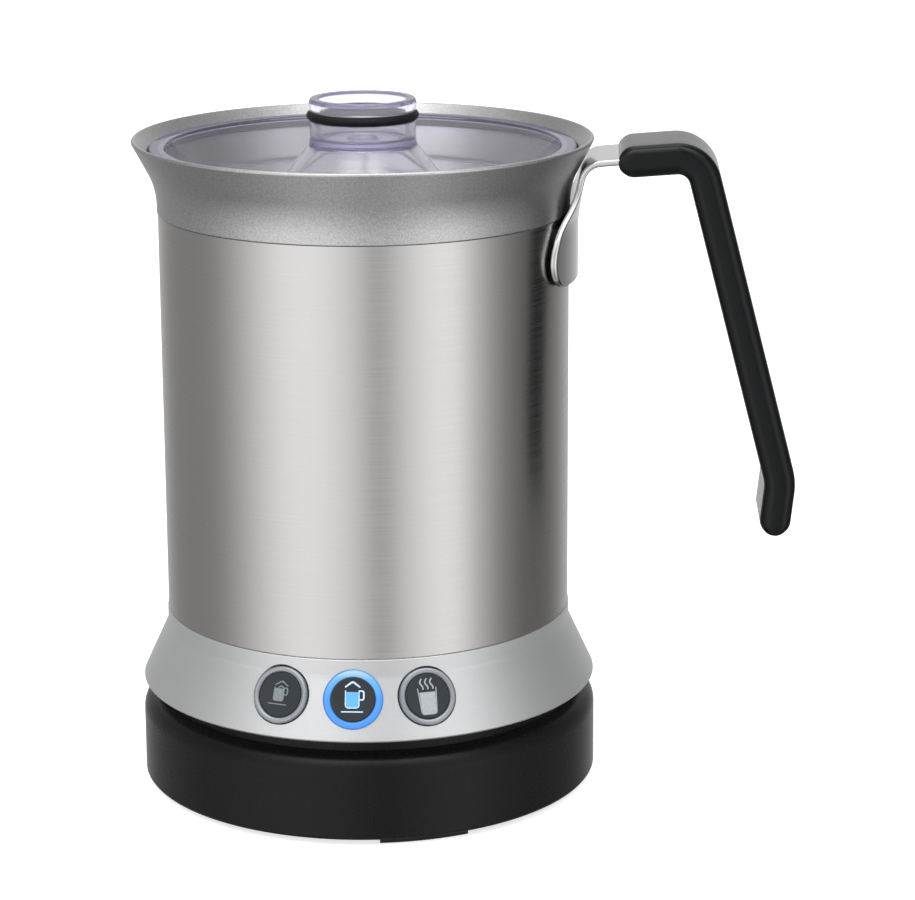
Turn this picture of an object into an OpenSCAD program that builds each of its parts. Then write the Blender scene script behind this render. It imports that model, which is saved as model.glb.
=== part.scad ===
// Milk frother: a steel jug with a clear lid, a strap handle and three buttons, standing on a power base.
// Millimetres, +Z up. The origin is on the jug's axis, at the level of the feet.
// -Y is the front, where the buttons are. +X is the handle's side.
// An azimuth (az) is measured from the front towards the handle.

/* [Base] */
// Outer radius of the power base
base_r = 62.5; // [62:0.1:63]
// Height of the base's flat top above the table
base_top = 24.5; // [24:0.1:24.6]
// Radius of the base's top shoulder
shoulder_r = 5; // [4:0.5:6]
// Height of the rubber feet
foot_h = 1.6; // [1:0.1:2]
// Angle that each foot spans
foot_span = 23; // [15:1:30]
// Wall thickness of the mouldings
wall = 2.2; // [1.8:0.1:2.4]
// Radius of the mains cord that the inlet bushing takes
cord_r = 3.4; // [3:0.1:3.6]
// Height of the cord inlet's centre
inlet_z = 11.5; // [11:0.5:13]

/* [Jug body] */
// Outer radius of the steel sleeve
sleeve_r = 55.05; // [54.8:0.05:55.1]
// Thickness of the sleeve's sheet
sleeve_t = 0.8; // [0.6:0.1:0.9]
// Height of the seam between skirt and sleeve
skirt_top = 48.9; // [48.5:0.1:50]
// Height of the skirt's lower edge
skirt_bottom = 28.6; // [28.5:0.1:29]
// Radius of the skirt's lower edge
skirt_r = 61.8; // [61.5:0.1:62]
// Lean of the skirt's cone from the vertical, in degrees
skirt_lean = 24.87; // [24.5:0.1:25.2]
// Height of the seam between sleeve and collar
collar_bottom = 158.25; // [158:0.25:159]
// Height of the pouring rim
rim_top = 177.7; // [177.5:0.1:178]
// Radius of the curve between the collar's foot and its flare
collar_curve = 20; // [19:0.5:21]
// Lean of the collar's flare from the vertical, in degrees
flare = 27.9; // [27.5:0.1:28.3]
// Inner radius of the milk bowl
bowl_r = 46; // [45:0.5:46.5]
// Height of the bowl's floor, inside
bowl_floor = 67.5; // [67.4:0.1:68]

/* [Lid] */
// Radius of the lid's rim flange
lid_r = 57; // [56.5:0.1:57]
// Outer radius of the lid's neck
neck_r = 14.2; // [14:0.1:14.4]
// Inner radius of the neck's cup
neck_bore = 11.7; // [11:0.1:12]
// Height of the neck's top
neck_top = 187.8; // [187:0.1:189]

/* [Buttons] */
// Angle between neighbouring buttons
button_step = 19.4; // [19:0.1:20]
// Height of the buttons' centres on the skirt
button_z = 39; // [38.8:0.1:39.2]
// Radius of a button's cap
cap_r = 5.9; // [5.8:0.05:6]
// Outer radius of a button's light ring
light_ring_r = 7.8; // [7.7:0.1:8]
// Travel of a button
button_travel = 0.8; // [0.5:0.1:0.8]

/* [Handle] */
// Thickness of the steel strap
strap_t = 1.7; // [1.5:0.1:1.8]
// Half the strap's width where it enters the grip
strap_half_w = 13.2; // [12:0.2:14]
// Half the width of the strap's tongue at its widest
tongue_half_w = 24.6; // [24:0.2:26]
// Thickness of the grip
grip_t = 8.4; // [8:0.1:9]
// Width of the grip
grip_w = 27; // [26:0.5:28]
// Radius of the grip's long edges
grip_edge = 3; // [2:0.5:3.5]

/* [Hidden] */
$fn = 96;
small = 32;

plastic_black = [0.03, 0.03, 0.035];
rubber_black = [0.05, 0.05, 0.05];
silver_paint = [0.62, 0.62, 0.62];
steel = [0.72, 0.71, 0.69];
clear_violet = [0.80, 0.79, 0.92, 0.45];
brass_yellow = [0.80, 0.65, 0.30];
board_green = [0.08, 0.30, 0.16];
lit_blue = [0.15, 0.50, 0.95];
ring_grey = [0.42, 0.44, 0.46];
magnet_grey = [0.35, 0.35, 0.37];
coating_grey = [0.20, 0.20, 0.21];

// Base
side_top = base_top - shoulder_r;
base_in = base_r - wall;
top_under = base_top - wall;
bottom_r = base_in - 0.3;
bottom_t = 2;
bottom_top = foot_h + bottom_t;
foot_out = 60.1;
foot_w = 3.6;
foot_az = [18, 138, 258];
screw_az = [78, 198, 318];
base_screw_ring = 48;
base_boss_r = 3.6;
base_pilot_r = 1.3;
base_screw_r = 1.25;
screw_r = 1.1;
inlet_out_r = 5.2;
bushing_len = 6.6;
bushing_flange_h = 3.2;
clamp_y = 44;
clamp_x = 8;
clamp_post_h = 6;
clamp_post_r = 3;
clamp_bar = [21.6, 6, 2.4];

// Connector between base and jug
tower_r = 16.6;
tower_in = 14;
tower_top = 36;
post_r = 5;
post_top = 37;
live_bore = 2;
live_out = 2.6;
neutral_r = 9;
earth_r = 13.3;
contact_t = 0.6;
socket_in = 17;
socket_out = 20;
socket_roof = 39;
socket_top = 41;
socket_flange_r = 23;
run_gap = 0.05;
gap = 0.3;

// Jug
jug_under = base_top + gap;
jug_floor_top = jug_under + 2.5;
jug_floor_r = 57.5;
jug_floor_flange_r = 59.3;
sleeve_in = sleeve_r - sleeve_t;
lip_r = sleeve_r + 0.25;
skirt_low_z = skirt_bottom + 1.4;
skirt_slope = tan(skirt_lean);
skirt_cone_top = skirt_low_z + (skirt_r + 0.1 - lip_r) / skirt_slope;
skirt_wall = wall / cos(skirt_lean);
spigot_r = sleeve_in - 0.1;
spigot_in = 52.9;

// Collar
curve_z = collar_bottom + 1.75;
curve_end_r = lip_r + collar_curve * (1 - cos(flare));
curve_end_z = curve_z + collar_curve * sin(flare);
flare_top_z = rim_top - 0.8;
rim_r = curve_end_r + (flare_top_z - curve_end_z) * tan(flare);
seat_z = 172;
seat_in = 55.2;
seat_out = lid_r + gap;
mouth_r = 50.5;
collar_spigot_z = 155;

// Bowl and heater
bowl_t = 1.2;
bowl_under = bowl_floor - 1.5;
bowl_corner = 8;
bowl_flare_z = 150;
bowl_flange_r = 52.6;
bowl_flange_z = 156.2;
gasket_z = 157.2;
heater_in = 21;
heater_out = 40;
heater_under = bowl_under - 2;
element_r = 30;
element_tube = 2.1;
element_gap = 44;
element_az = 200;

// Chassis and motor
chassis_top = 59.5;
chassis_under = 57.5;
chassis_r = 50;
leg_ring = 43;
leg_az = [60, 180, 300];
leg_r = 4;
motor_r = 16;
motor_low = 42.5;
motor_high = chassis_under;
motor_wall = 1.2;
shaft_r = 1.15;
carrier_r = 17;
carrier_low = 60.3;
carrier_top = 64.3;
magnet_ring = 12;
magnet_r = 3;
magnet_h = 2.5;

// Whisk
pin_r = 1.5;
pin_top = 78.5;
bush_low = bowl_floor + 0.5;
bush_top = 77.2;
bush_r = 3;
hub_low = bush_low + 0.4;
hub_top = hub_low + 4;
hub_r = 15.4;
coil_ring = 17.2;
coil_r = 1.9;
coil_z = hub_low + 2;

// Buttons
button_az = [-button_step, 0, button_step];
button_ring_r = skirt_r + 0.1 - (button_z - skirt_low_z) * skirt_slope;
cap_front = 0.5;
ring_front = 0.9;
ring_back = -3.9;
cap_back = -5.2;
switch_front = cap_back - 1 - button_travel - gap;
switch_body_front = -8.1;
board_front = -11.3;
board_t = 1.2;

// Lid
lid_floor_z = 164;
lid_t = 1.8;
flange_low = 174;
flange_top = 175.4;
cone_foot_r = 24.2;
neck_foot_z = 175.3;
neck_floor_z = 176.8;
o_ring_z = 183.2;
o_ring_r = 1.25;
o_ring_ring = neck_r - 0.45;

// Handle: centre lines in the XZ plane, as [x, z]
strap_out = 57.5;
strap_mid = strap_out - strap_t / 2;
tongue_low = 140.5;
tongue_round = 7.1;
tongue_wide_z = 147.5;
strap_narrow_z = 168;
round_to_z = 155;
flat_from_z = 169;
strap_points = [
    [strap_mid, tongue_low], [strap_mid, 155.5], [59, 171.9], [72.5, 173]
];
arm_start = [68, 172.2];
arm_corner = [89.3, 173.8];
leg_corner = [112.3, 85.5];
leg_end = [110.7, 70.8];
stud_z = [144, 151];
stud_r = 2;
stud_in = 50.3;
nut_in = 51;

function unit(v) = v / norm(v);
function wrap(a) = a > 180 ? a - 360 : a < -180 ? a + 360 : a;
function arc(c, r, a0, a1, n) =
    [for (i = [0:n]) let (a = a0 + (a1 - a0) * i / n) c + r * [cos(a), sin(a)]];

// A round bend of radius r at b, between the lines from a and to c
function bend(a, b, c, r, n) =
    let (u = unit(a - b), v = unit(c - b), half = acos(u * v) / 2)
    let (centre = b + unit(u + v) * r / sin(half), s = b + u * r / tan(half), e = b + v * r / tan(half))
    let (a0 = atan2(s.y - centre.y, s.x - centre.x))
    let (turn = wrap(atan2(e.y - centre.y, e.x - centre.x) - a0))
    arc(centre, r, a0, a0 + turn, n);

// A rounded rectangle of half sizes w and t, as [across, through]
function section(w, t, r) = concat(
    arc([w - r, t - r], r, 0, 90, 4), arc([r - w, t - r], r, 90, 180, 4),
    arc([r - w, r - t], r, 180, 270, 4), arc([w - r, r - t], r, 270, 360, 4));

function tangent(p, i) = unit(p[min(i + 1, len(p) - 1)] - p[max(i - 1, 0)]);

module at_polar(r, az, z) {
    rotate([0, 0, az])
        translate([0, -r, z])
            children();
}

// Local +Z points out of the skirt, along the button's travel
module at_button(az) {
    at_polar(button_ring_r, az, button_z)
        rotate([90 - skirt_lean, 0, 0])
            children();
}

module disc(r, z0, z1) {
    translate([0, 0, z0])
        cylinder(r = r, h = z1 - z0);
}

module ring(r_in, r_out, z0, z1) {
    difference() {
        disc(r_out, z0, z1);
        disc(r_in, z0 - 1, z1 + 1);
    }
}

module turned(points) {
    rotate_extrude()
        polygon(points);
}

module sector(r_in, r_out, z0, z1, az0, az1) {
    rotate([0, 0, az0 - 90])
        rotate_extrude(angle = az1 - az0)
            polygon([[r_in, z0], [r_out, z0], [r_out, z1], [r_in, z1]]);
}

// A closed skin through a list of rings of points, all of the same length.
// Each ring is symmetric: its point j lies across from its last point less j, so a cap is a strip of quads.
module skin(rings) {
    n = len(rings[0]);
    last = (len(rings) - 1) * n;
    sides = [
        for (i = [0:len(rings) - 2], j = [0:n - 1])
            let (a = i * n + j, b = i * n + (j + 1) % n)
                each [[a, a + n, b], [b, a + n, b + n]]
    ];
    caps = [
        for (j = [0:n / 2 - 2])
            each [
                [j, j + 1, n - 2 - j, n - 1 - j],
                [last + n - 1 - j, last + n - 2 - j, last + j + 1, last + j]]
    ];
    polyhedron([for (r = rings) each r], concat(sides, caps));
}

// ---- Base ----

module base_shell() {
    color(plastic_black) {
        difference() {
            turned(concat(
                [[bottom_r + 0.3, foot_h], [base_r - 0.6, foot_h], [base_r, foot_h + 0.8]],
                arc([base_r - shoulder_r, side_top], shoulder_r, 0, 90, 12),
                [[tower_r + 0.2, base_top], [tower_r + 0.2, top_under]],
                arc([base_in - shoulder_r + wall, side_top], shoulder_r - wall, 90, 0, 8)));
            translate([0, base_in - 3, inlet_z])
                rotate([-90, 0, 0])
                    cylinder(r = inlet_out_r, h = 8);
        }
        for (az = screw_az)
            at_polar(base_screw_ring, az, bottom_top)
                difference() {
                    cylinder(r = base_boss_r, h = top_under - bottom_top + 0.1, $fn = small);
                    translate([0, 0, -1])
                        cylinder(r = base_pilot_r, h = 13, $fn = small);
                }
    }
}

module base_bottom() {
    color(plastic_black)
        difference() {
            disc(bottom_r, foot_h, bottom_top);
            for (az = screw_az)
                at_polar(base_screw_ring, az, foot_h - 1) {
                    cylinder(r = 1.6, h = 4, $fn = small);
                    cylinder(r = 3.2, h = 2.1, $fn = small);
                }
        }
}

module base_feet() {
    color(rubber_black)
        for (az = foot_az)
            sector(foot_out - foot_w, foot_out, 0, foot_h, az - foot_span / 2, az + foot_span / 2);
}

module base_screws() {
    color(steel)
        for (az = screw_az)
            at_polar(base_screw_ring, az, foot_h + 0.1) {
                cylinder(r = 2.9, h = 0.9, $fn = small);
                cylinder(r = base_screw_r, h = 11, $fn = small);
            }
}

module base_connector() {
    color(plastic_black) {
        disc(tower_r + 4, top_under - 2, top_under);
        ring(tower_in, tower_r, top_under - 0.1, tower_top);
        difference() {
            disc(post_r, top_under - 0.1, post_top);
            disc(live_out, top_under, post_top + 1);
        }
    }
}

module base_contacts() {
    color(brass_yellow) {
        ring(live_bore, live_out, top_under, post_top - 1);
        ring(neutral_r, neutral_r + contact_t, top_under, 33);
        ring(earth_r, earth_r + contact_t, top_under, 34);
        for (x = [-8, 0, 8])
            translate([x - 1.5, 4, top_under - 8])
                cube([3, 0.8, 6]);
    }
}

module cord_bushing() {
    color(rubber_black)
        translate([0, base_in - 4, inlet_z])
            rotate([-90, 0, 0])
                difference() {
                    union() {
                        cylinder(r = inlet_out_r - run_gap, h = bushing_len);
                        cylinder(r = inlet_out_r + 1.8, h = bushing_flange_h);
                    }
                    translate([0, 0, -1])
                        cylinder(r = cord_r, h = bushing_len + 2);
                }
}

module cord_clamp() {
    color(plastic_black) {
        for (x = [-clamp_x, clamp_x])
            translate([x, clamp_y, bottom_top])
                difference() {
                    cylinder(r = clamp_post_r, h = clamp_post_h, $fn = small);
                    translate([0, 0, 1])
                        cylinder(r = screw_r + run_gap, h = clamp_post_h, $fn = small);
                }
        difference() {
            translate([-clamp_bar.x / 2, clamp_y - clamp_bar.y / 2, bottom_top + clamp_post_h])
                cube(clamp_bar);
            for (x = [-clamp_x, clamp_x])
                translate([x, clamp_y, bottom_top + clamp_post_h - 1])
                    cylinder(r = screw_r + 0.2, h = clamp_bar.z + 2, $fn = small);
        }
    }
}

module clamp_screws() {
    color(steel)
        for (x = [-clamp_x, clamp_x])
            translate([x, clamp_y, bottom_top]) {
                translate([0, 0, clamp_post_h + clamp_bar.z])
                    cylinder(r = 2.4, h = 1.4, $fn = small);
                translate([0, 0, 2])
                    cylinder(r = screw_r, h = clamp_post_h + clamp_bar.z - 1.9, $fn = small);
            }
}

// ---- Connector socket under the jug ----

module jug_socket() {
    color(plastic_black) {
        ring(socket_in, socket_out - run_gap, jug_under, socket_top);
        ring(socket_out - run_gap - 1, socket_flange_r, jug_floor_top + gap, jug_floor_top + gap + 1.5);
        disc(socket_in + 0.5, socket_roof, socket_top);
        ring(10.6, 11.8, 26, socket_roof + 0.1);
    }
}

module socket_contacts() {
    color(brass_yellow) {
        disc(live_bore - 0.4, 26, socket_roof);
        ring(neutral_r + contact_t + 0.4, neutral_r + contact_t + 0.9, 26.5, socket_roof);
        ring(11.9, 12.5, 26.5, socket_roof);
    }
}

// ---- Jug: outside ----

module jug_bottom() {
    color(plastic_black)
        difference() {
            union() {
                ring(socket_out, jug_floor_r, jug_under, jug_floor_top);
                ring(jug_floor_r - 2, jug_floor_flange_r, jug_floor_top - 0.1, jug_floor_top + 1.8);
            }
            for (az = leg_az)
                at_polar(leg_ring, az, jug_under - 1) {
                    cylinder(r = 1.8, h = 5, $fn = small);
                    cylinder(r = 3.3, h = 2.3, $fn = small);
                }
        }
}

module skirt() {
    color(silver_paint)
        difference() {
            turned([
                [skirt_r - 1.6, skirt_bottom], [skirt_r, skirt_bottom], [skirt_r + 0.5, skirt_bottom + 0.5],
                [skirt_r + 0.1, skirt_low_z], [lip_r, skirt_cone_top], [lip_r, skirt_top],
                [spigot_r, skirt_top], [spigot_r, skirt_top + 6], [spigot_in, skirt_top + 6],
                [spigot_in, skirt_cone_top], [skirt_r + 0.1 - skirt_wall, skirt_low_z]
            ]);
            for (az = button_az)
                at_button(az)
                    translate([0, 0, -9])
                        cylinder(r = light_ring_r + 0.1, h = 18);
        }
}

module outer_sleeve() {
    color(steel)
        difference() {
            ring(sleeve_in, sleeve_r, skirt_top, collar_bottom);
            stud_holes();
        }
}

module collar() {
    color(silver_paint)
        turned(concat(
            [[mouth_r, collar_bottom], [spigot_in, collar_bottom],
                [spigot_in, collar_spigot_z], [spigot_r, collar_spigot_z]],
            [[spigot_r, collar_bottom], [lip_r, collar_bottom]],
            arc([lip_r + collar_curve, curve_z], collar_curve, 180, 180 - flare, 10),
            [[rim_r, flare_top_z]],
            arc([rim_r - 0.6, flare_top_z + 0.2], 0.6, 0, 150, 6),
            [[seat_out + 0.2, seat_z + 2.6], [seat_out, seat_z + 2.2]],
            [[seat_out, seat_z], [seat_in, seat_z], [mouth_r, 161.5]]));
}

// ---- Jug: inside ----

module bowl() {
    flare_r = bowl_r + 4.2;
    color(coating_grey)
        difference() {
            turned(concat(
                [[0, bowl_under], [bowl_r + bowl_t - bowl_corner, bowl_under]],
                arc([bowl_r + bowl_t - bowl_corner, bowl_under + bowl_corner], bowl_corner, -90, 0, 8),
                [[bowl_r + bowl_t, bowl_flare_z], [flare_r, bowl_flange_z], [bowl_flange_r, bowl_flange_z]],
                [[bowl_flange_r, gasket_z], [flare_r - 0.3, gasket_z], [bowl_r, bowl_flare_z + 0.6]],
                arc([bowl_r - bowl_corner + 1, bowl_floor + bowl_corner - 1], bowl_corner - 1, 0, -90, 8),
                [[0, bowl_floor]]));
            disc(pin_r, bowl_under - 1, bowl_floor + 1);
        }
}

module bowl_gasket() {
    color(rubber_black)
        ring(mouth_r, bowl_flange_r, gasket_z, collar_bottom);
}

module bowl_pin() {
    color(steel) {
        disc(pin_r, bowl_under, pin_top - 0.5);
        translate([0, 0, pin_top - 0.5])
            cylinder(r1 = pin_r, r2 = pin_r - 0.4, h = 0.5);
    }
}

module heater_plate() {
    color(steel)
        ring(heater_in, heater_out, heater_under, bowl_under);
}

module heating_element() {
    element_z = heater_under - element_tube;
    ends = [element_az + element_gap / 2, element_az + 360 - element_gap / 2];
    color(steel) {
        rotate([0, 0, ends[0] - 90])
            rotate_extrude(angle = 360 - element_gap)
                translate([element_r, element_z])
                    circle(r = element_tube, $fn = small);
        for (az = ends)
            at_polar(element_r, az, element_z - 9)
                cylinder(r = 1.4, h = 9, $fn = small);
    }
}

module thermostat() {
    color(plastic_black)
        at_polar(element_r, element_az, heater_under - 7)
            cylinder(r = 5, h = 7, $fn = small);
}

module thermal_fuse() {
    color(steel)
        at_polar(25, element_az + 180, heater_under - 1.6)
            rotate([0, 90, 0])
                translate([0, 0, -5])
                    cylinder(r = 1.5, h = 10, $fn = small);
}

module chassis() {
    color(plastic_black)
        difference() {
            union() {
                disc(chassis_r, chassis_under, chassis_top);
                ring(chassis_r - 2, chassis_r, 46, chassis_top);
                for (az = leg_az)
                    at_polar(leg_ring, az, jug_floor_top)
                        cylinder(r = leg_r, h = chassis_under - jug_floor_top + 0.1, $fn = small);
            }
            disc(3.4, chassis_under - 1, chassis_top + 1);
            for (az = [element_az + element_gap / 2, element_az - element_gap / 2])
                at_polar(element_r, az, chassis_under - 1)
                    cylinder(r = 2, h = 4, $fn = small);
            at_polar(element_r, element_az, chassis_under - 1)
                cylinder(r = 5.6, h = 4, $fn = small);
            for (x = [-9, 9])
                translate([x, 0, chassis_under - 1]) {
                    cylinder(r = 1.3, h = 4, $fn = small);
                    translate([0, 0, 2])
                        cylinder(r = 2.5, h = 2, $fn = small);
                }
            for (az = leg_az)
                at_polar(leg_ring, az, jug_floor_top - 1)
                    cylinder(r = 1.55, h = 12, $fn = small);
        }
}

module motor_can() {
    color(steel)
        difference() {
            union() {
                disc(motor_r, motor_low, motor_high);
                disc(3.2, motor_high - 0.1, motor_high + 1.4);
            }
            difference() {
                disc(motor_r - motor_wall, motor_low + motor_wall, motor_high - motor_wall);
                disc(3, motor_low, motor_low + 3);
                disc(3, motor_high - 2.6, motor_high);
            }
            disc(shaft_r + run_gap, motor_low + motor_wall, motor_high + 2);
            for (x = [-9, 9])
                translate([x, 0, motor_high - 2])
                    cylinder(r = 1.05, h = 3, $fn = small);
        }
}

module field_magnets() {
    color(magnet_grey)
        for (az = [0, 180])
            sector(12.8, motor_r - motor_wall - run_gap, 45, 55, az - 60, az + 60);
}

module motor_screws() {
    color(steel)
        for (x = [-9, 9])
            translate([x, 0, motor_high - 1]) {
                cylinder(r = 1, h = 2.1, $fn = small);
                translate([0, 0, 2])
                    cylinder(r = 2.2, h = 0.9, $fn = small);
            }
}

module control_board() {
    color(board_green)
        sector(26, 50, 31, 32.6, 74, 166);
}

module board_parts() {
    color(plastic_black) {
        at_polar(38, 100, 32.6)
            translate([-8, -5, 0])
                cube([16, 10, 10]);
        at_polar(36, 128, 32.6)
            cylinder(r = 4, h = 9, $fn = small);
        at_polar(38, 150, 32.6)
            translate([-5, -4, 0])
                cube([10, 8, 2]);
    }
}

module switch_boards() {
    color(board_green)
        for (az = button_az)
            at_button(az)
                translate([-6, -5.5, board_front - board_t])
                    cube([12, 11, board_t]);
}

module tact_switches() {
    color(plastic_black)
        for (az = button_az)
            at_button(az) {
                translate([-3.1, -3.1, board_front])
                    cube([6.2, 6.2, switch_body_front - board_front]);
                translate([0, 0, switch_body_front - 0.1])
                    cylinder(r = 1.7, h = switch_front - switch_body_front + 0.1, $fn = small);
            }
}

module lamps() {
    color(lit_blue)
        for (az = button_az, x = [-4.8, 4.8])
            at_button(az)
                translate([x - 0.8, -1.6, board_front])
                    cube([1.6, 3.2, 1.4]);
}

module light_ring(az, tint) {
    color(tint)
        at_button(az)
            difference() {
                union() {
                    translate([0, 0, ring_back])
                        cylinder(r = light_ring_r, h = ring_front - ring_back);
                    translate([0, 0, ring_back])
                        cylinder(r = light_ring_r + 0.9, h = 1);
                }
                translate([0, 0, ring_back - 1])
                    cylinder(r = cap_r + 0.08, h = 8);
            }
}

module left_light_ring() {
    light_ring(button_az[0], ring_grey);
}

module centre_light_ring() {
    light_ring(button_az[1], lit_blue);
}

module right_light_ring() {
    light_ring(button_az[2], ring_grey);
}

module button(az) {
    color(plastic_black)
        at_button(az) {
            translate([0, 0, cap_back])
                cylinder(r = cap_r, h = cap_front - cap_back);
            translate([0, 0, cap_back])
                cylinder(r = 7, h = ring_back - gap - cap_back);
            translate([0, 0, cap_back - 1])
                cylinder(r = 2, h = 1.1, $fn = small);
        }
}

module left_button() {
    button(button_az[0]);
}

module centre_button() {
    button(button_az[1]);
}

module right_button() {
    button(button_az[2]);
}

// ---- Handle ----

// Half width of the strap at height z: a spade-shaped tongue that narrows towards the arm
function strap_width(z) =
    z < tongue_wide_z
        ? tongue_half_w - tongue_round * (1 - sqrt(1 - pow((tongue_wide_z - z) / tongue_round, 2)))
        : let (t = min(1, (z - tongue_wide_z) / (strap_narrow_z - tongue_wide_z)))
            strap_half_w + (tongue_half_w - strap_half_w) * (1 + cos(180 * t)) / 2;

// How much of the sleeve's roundness the strap keeps at height z: all on the tongue, none on the arm
function strap_round(z) =
    let (t = (z - round_to_z) / (flat_from_z - round_to_z))
        t < 0 ? 1 : t > 1 ? 0 : (1 + cos(180 * t)) / 2;

function strap_ring(p, d, w, k) = [
    for (side = [1, -1], j = [-8:8])
        let (y = side * j / 8 * w, sag = k * (strap_out - sqrt(pow(strap_out, 2) - y * y)))
            [p.x + side * strap_t / 2 * d.y - sag, y, p.y - side * strap_t / 2 * d.x]
];

module handle_strap() {
    path = concat(
        [for (i = [0:4]) strap_points[0] + [0, tongue_wide_z - tongue_low] * (1 - cos(22.5 * i))],
        [[strap_mid, 150]],
        bend(strap_points[0], strap_points[1], strap_points[2], 30, 4),
        [for (t = [0.3, 0.55]) strap_points[1] + t * (strap_points[2] - strap_points[1])],
        bend(strap_points[1], strap_points[2], strap_points[3], 5.5, 7),
        [strap_points[3]]);
    color(steel)
        skin([
            for (i = [0:len(path) - 1])
                strap_ring(path[i], tangent(path, i), strap_width(path[i].y), strap_round(path[i].y))
        ]);
}

// Sleeve and pad share these holes for the handle's studs
module stud_holes() {
    for (z = stud_z)
        translate([50, 0, z])
            rotate([0, 90, 0])
                cylinder(r = stud_r + 0.2, h = 8, $fn = small);
}

module handle_pad() {
    color(rubber_black)
        difference() {
            sector(sleeve_r + 0.02, strap_out - strap_t - run_gap, tongue_low + 1, 156, 68, 112);
            stud_holes();
        }
}

module handle_studs() {
    color(steel)
        for (z = stud_z)
            translate([stud_in, 0, z])
                rotate([0, 90, 0])
                    cylinder(r = stud_r, h = strap_out - strap_t - run_gap - stud_in, $fn = small);
}

module handle_nuts() {
    color(steel)
        for (z = stud_z)
            translate([nut_in, 0, z])
                rotate([0, 90, 0])
                    difference() {
                        cylinder(r = 3.4, h = 3, $fn = 6);
                        translate([0, 0, -1])
                            cylinder(r = stud_r + 0.02, h = 5, $fn = small);
                    }
}

function grip_ring(p, d, t) = [
    for (q = section(grip_w / 2, t, min(grip_edge, t * 0.95)))
        [p.x - q.y * d.y, q.x, p.y + q.y * d.x]
];

module handle_grip() {
    half = grip_t / 2;
    start_dir = unit(arm_corner - arm_start);
    end_dir = unit(leg_end - leg_corner);
    angles = [for (i = [1:5]) 18 * i];
    path = concat(
        [for (a = angles) arm_start + start_dir * half * (1 - cos(a))],
        bend(arm_start, arm_corner, leg_corner, 7.5, 9),
        bend(arm_corner, leg_corner, leg_end, 14, 5),
        [for (i = [4:-1:0]) leg_end - end_dir * half * (1 - cos(angles[i]))]);
    last = len(path) - 1;
    thick = [for (i = [0:last]) half * sin(18 * min(5, i + 1, last - i + 1))];
    color(plastic_black)
        difference() {
            skin([for (i = [0:last]) grip_ring(path[i], tangent(path, i), thick[i])]);
            strap_slot();
        }
}

// The slot in the grip's arm that the strap is moulded into
module strap_slot() {
    a = strap_points[2];
    b = strap_points[3];
    slope = atan2(b.y - a.y, b.x - a.x);
    translate([b.x, 0, b.y])
        rotate([0, -slope, 0])
            translate([-8, -strap_half_w - 0.02, -strap_t / 2 - 0.02])
                cube([8.02, 2 * strap_half_w + 0.04, strap_t + 0.04]);
}

module jug_screws() {
    color(steel)
        for (az = leg_az)
            at_polar(leg_ring, az, jug_under + 0.2) {
                cylinder(r = 3, h = 1, $fn = small);
                cylinder(r = 1.5, h = 12, $fn = small);
            }
}

// ---- Lid ----

module lid_shell() {
    wall_top = [seat_in - 1.2, flange_low];
    wall_foot = [50.2, lid_floor_z - lid_t];
    color(clear_violet)
        turned(concat(
            [[0, neck_floor_z - lid_t], [neck_bore - 1, neck_floor_z - lid_t]],
            [[neck_r - 1.6, neck_foot_z - lid_t], [cone_foot_r - 1.2, lid_floor_z - lid_t]],
            [wall_foot, wall_top, [lid_r, flange_low], [lid_r, flange_top - 0.4], [lid_r - 0.4, flange_top]],
            [[wall_top.x - 1, flange_top], [wall_foot.x - 1.4, lid_floor_z], [cone_foot_r, lid_floor_z]],
            [[neck_r + 0.3, neck_foot_z], [neck_r, neck_foot_z + 0.8], [neck_r, o_ring_z - 1.3]],
            [[neck_r - 0.9, o_ring_z - 1.3], [neck_r - 0.9, o_ring_z + 1.3], [neck_r, o_ring_z + 1.3]],
            [[neck_r + 0.2, neck_top - 1], [neck_r - 0.2, neck_top], [neck_bore + 0.3, neck_top]],
            [[neck_bore, neck_top - 0.4], [neck_bore, neck_floor_z], [4.4, neck_floor_z]],
            [[3.4, neck_floor_z + 0.9], [0, neck_floor_z + 1.2]]));
}

module lid_seal() {
    color(rubber_black)
        ring(seat_in - 0.8, lid_r - 0.1, seat_z + 0.2, flange_low);
}

module lid_o_ring() {
    color(rubber_black)
        rotate_extrude()
            translate([o_ring_ring, o_ring_z])
                circle(r = o_ring_r, $fn = small);
}

// ---- Drive and whisk ----

module motor_shaft() {
    color(steel)
        disc(shaft_r, motor_low + motor_wall + 0.2, carrier_top - 0.2);
}

module motor_armature() {
    color(brass_yellow)
        ring(shaft_r + 0.01, 12.2, motor_low + 4, motor_high - 4);
}

module carrier_magnets(z0, z1, r) {
    for (az = [45:90:315])
        at_polar(magnet_ring, az, z0)
            cylinder(r = r, h = z1 - z0, $fn = small);
}

module magnet_carrier() {
    color(plastic_black)
        difference() {
            disc(carrier_r, carrier_low, carrier_top);
            disc(shaft_r + 0.01, carrier_low - 1, carrier_top + 1);
            carrier_magnets(carrier_top - magnet_h - 0.02, carrier_top + 1, magnet_r + 0.02);
        }
}

module drive_magnets() {
    color(magnet_grey)
        carrier_magnets(carrier_top - magnet_h, carrier_top, magnet_r);
}

module whisk_bush() {
    color([0.85, 0.84, 0.80]) {
        ring(pin_r + run_gap, bush_r, bush_low, bush_top);
        ring(pin_r + run_gap, bush_r + 1.3, bush_top - 1, bush_top);
    }
}

module whisk_hub() {
    color(plastic_black)
        difference() {
            union() {
                disc(hub_r, hub_low, hub_top);
                disc(6, hub_top - 0.1, bush_top - 1 - gap);
            }
            disc(bush_r + run_gap, hub_low - 1, bush_top);
            carrier_magnets(hub_low - 1, hub_low + magnet_h + 0.02, magnet_r + 0.02);
        }
}

module whisk_coil() {
    color(steel)
        rotate_extrude()
            translate([coil_ring, coil_z])
                circle(r = coil_r, $fn = small);
}

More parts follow.
